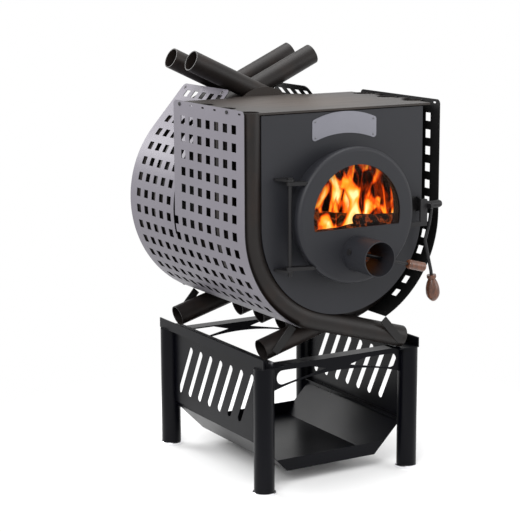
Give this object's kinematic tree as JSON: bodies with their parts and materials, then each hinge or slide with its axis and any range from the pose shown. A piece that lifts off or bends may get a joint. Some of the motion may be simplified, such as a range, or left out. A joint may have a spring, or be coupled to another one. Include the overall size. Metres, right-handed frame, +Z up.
{
  "type": "workshop stove",
  "caption": "Warm-air wood stove with crossed convection tubes round a barrel firebox, perforated side covers, a round glazed door and an open steel stand with a log tray.",
  "frame": {"origin": "on the floor, under the middle of the bounding box", "axes": "+Z up, -Y is the door side, +X is to the right of a person who faces the door"},
  "size_m": [0.6664, 0.9632, 1.246],
  "materials": {
    "tube_steel": "satin",
    "firebox_paint": "matt",
    "cook_plate_steel": "satin",
    "front_paint": "satin",
    "badge_metal": "satin",
    "cover_paint": "satin",
    "fitting_steel": "satin",
    "knob_wood": "oiled",
    "window_glass": "polished",
    "seal_rope": "woven",
    "foot_chrome": "polished",
    "bolt_steel": "zinc",
    "stand_paint": "gloss powder coat"
  },
  "bodies": {
    "stand": {"stand_leg_front_left": "stand_paint", "stand_leg_front_right": "stand_paint", "stand_leg_rear_left": "stand_paint", "stand_leg_rear_right": "stand_paint", "levelling_foot_front_left": "foot_chrome", "levelling_foot_front_right": "foot_chrome", "levelling_foot_rear_left": "foot_chrome", "levelling_foot_rear_right": "foot_chrome", "front_cross_member": "stand_paint", "rear_cross_member": "stand_paint", "left_rail": "stand_paint", "right_rail": "stand_paint", "left_side_panel": "stand_paint", "right_side_panel": "stand_paint", "log_tray": "stand_paint", "stand_bolts": "bolt_steel"},
    "stove": {"tube_left_1": "tube_steel", "tube_left_2": "tube_steel", "tube_left_3": "tube_steel", "tube_left_4": "tube_steel", "tube_left_5": "tube_steel", "tube_right_1": "tube_steel", "tube_right_2": "tube_steel", "tube_right_3": "tube_steel", "tube_right_4": "tube_steel", "tube_right_5": "tube_steel", "firebox_shell": "firebox_paint", "firebox_hood": "firebox_paint", "hood_bulkhead": "firebox_paint", "cook_plate": "cook_plate_steel", "cook_plate_infill": "cook_plate_steel", "front_plate": "front_paint", "badge_plate": "badge_metal", "door_collar": "front_paint", "rear_plate": "firebox_paint", "flue_spigot": "firebox_paint", "baffle_plate": "firebox_paint", "cover_left": "cover_paint", "cover_right": "cover_paint", "cover_screws": "fitting_steel", "foot_braces": "firebox_paint", "hinge_bracket_upper": "fitting_steel", "hinge_bracket_lower": "fitting_steel", "hinge_pin": "fitting_steel", "latch_bracket": "fitting_steel"},
    "door": {"door_disc": "front_paint", "window_glass": "window_glass", "glass_retainer": "front_paint", "door_seal": "seal_rope", "inlet_pipe": "front_paint", "hinge_arm_upper": "fitting_steel", "hinge_arm_lower": "fitting_steel", "latch_tongue": "fitting_steel"},
    "throttle": {"throttle_disc": "fitting_steel", "throttle_shaft": "fitting_steel", "throttle_knob": "knob_wood"},
    "latch": {"latch_sleeve": "fitting_steel", "latch_rod": "fitting_steel", "latch_knob": "knob_wood"}
  },
  "joints": [
    {"name": "stove_lift", "type": "slide", "parent": "stand", "child": "stove", "axis": [0, 0, 1], "range_m": [0, 0.12]},
    {"name": "door_hinge", "type": "hinge", "parent": "stove", "child": "door", "pos_m": [-0.205, -0.33835, 0.80641], "axis": [0, 0, -1], "range_deg": [0, 110]},
    {"name": "throttle_turn", "type": "hinge", "parent": "door", "child": "throttle", "pos_m": [0, -0.40515, 0.69941], "axis": [0.9659, 0, -0.2588], "range_deg": [0, 90]},
    {"name": "latch_turn", "type": "hinge", "parent": "stove", "child": "latch", "pos_m": [0.255, -0.33335, 0.81141], "axis": [-1, 0, 0], "range_deg": [0, 75]}
  ]
}
